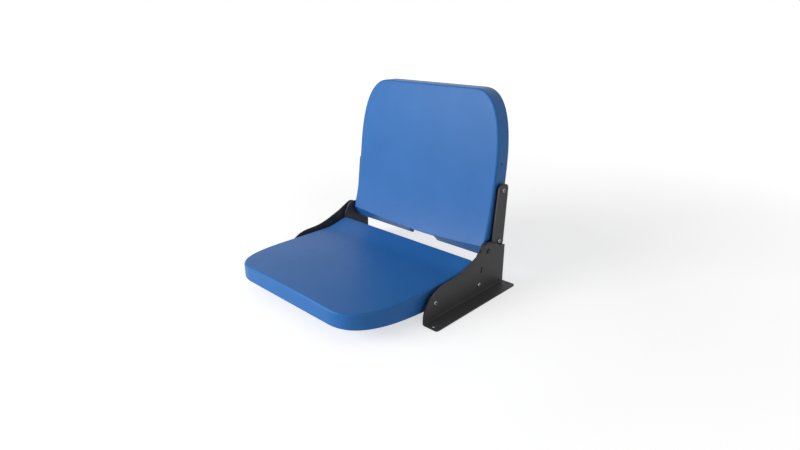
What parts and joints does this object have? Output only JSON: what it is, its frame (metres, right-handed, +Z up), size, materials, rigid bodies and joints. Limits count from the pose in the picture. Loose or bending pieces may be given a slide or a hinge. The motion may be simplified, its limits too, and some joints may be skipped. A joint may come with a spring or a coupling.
{
  "type": "folding stadium seat",
  "caption": "Low stadium seat: hollow moulded seat panel fixed between folded steel side plates, with a hollow moulded back that folds forward over it on a side hinge.",
  "frame": {"origin": "centre of the four base bolt holes, on the underside of the base flanges", "axes": "+X across the seat towards the sitter's left, -Y towards the front, +Z up"},
  "size_m": [0.534, 0.482, 0.4412],
  "materials": {
    "blue_plastic": "satin, finely grained polyethylene",
    "black_steel": "fine-textured powder coat",
    "black_pin": "powder coat over the rivet head",
    "black_nylon": "matte",
    "bare_steel": "zinc-plated, turned",
    "insert_brass": "turned",
    "dark_spacer": "blackened steel tube"
  },
  "bodies": {
    "base": {"seat_shell": "blue_plastic", "outer_plate_left": "black_steel", "outer_plate_right": "black_steel", "inner_plate_left": "black_steel", "inner_plate_right": "black_steel", "hinge_web_left": "black_steel", "hinge_web_right": "black_steel", "pivot_pin_left": "black_pin", "pivot_pin_right": "black_pin", "pivot_washers_left": "black_nylon", "pivot_washers_right": "black_nylon", "seat_front_screws": "bare_steel", "seat_rear_screws": "bare_steel", "seat_front_inserts": "insert_brass", "seat_rear_inserts": "insert_brass", "seat_front_spacers": "dark_spacer", "seat_rear_spacers": "dark_spacer", "plate_spacers": "dark_spacer"},
    "back": {"back_shell": "blue_plastic", "back_arm_left": "black_steel", "back_arm_right": "black_steel", "back_stop_screws": "bare_steel", "back_upper_screws": "bare_steel", "back_stop_inserts": "insert_brass", "back_upper_inserts": "insert_brass", "back_stop_spacers": "dark_spacer", "back_upper_spacers": "dark_spacer"}
  },
  "joints": [
    {"name": "back_fold", "type": "hinge", "parent": "base", "child": "back", "pos_m": [0, 0.0768, 0.0963], "axis": [1, 0, 0], "range_deg": [0, 102]}
  ]
}
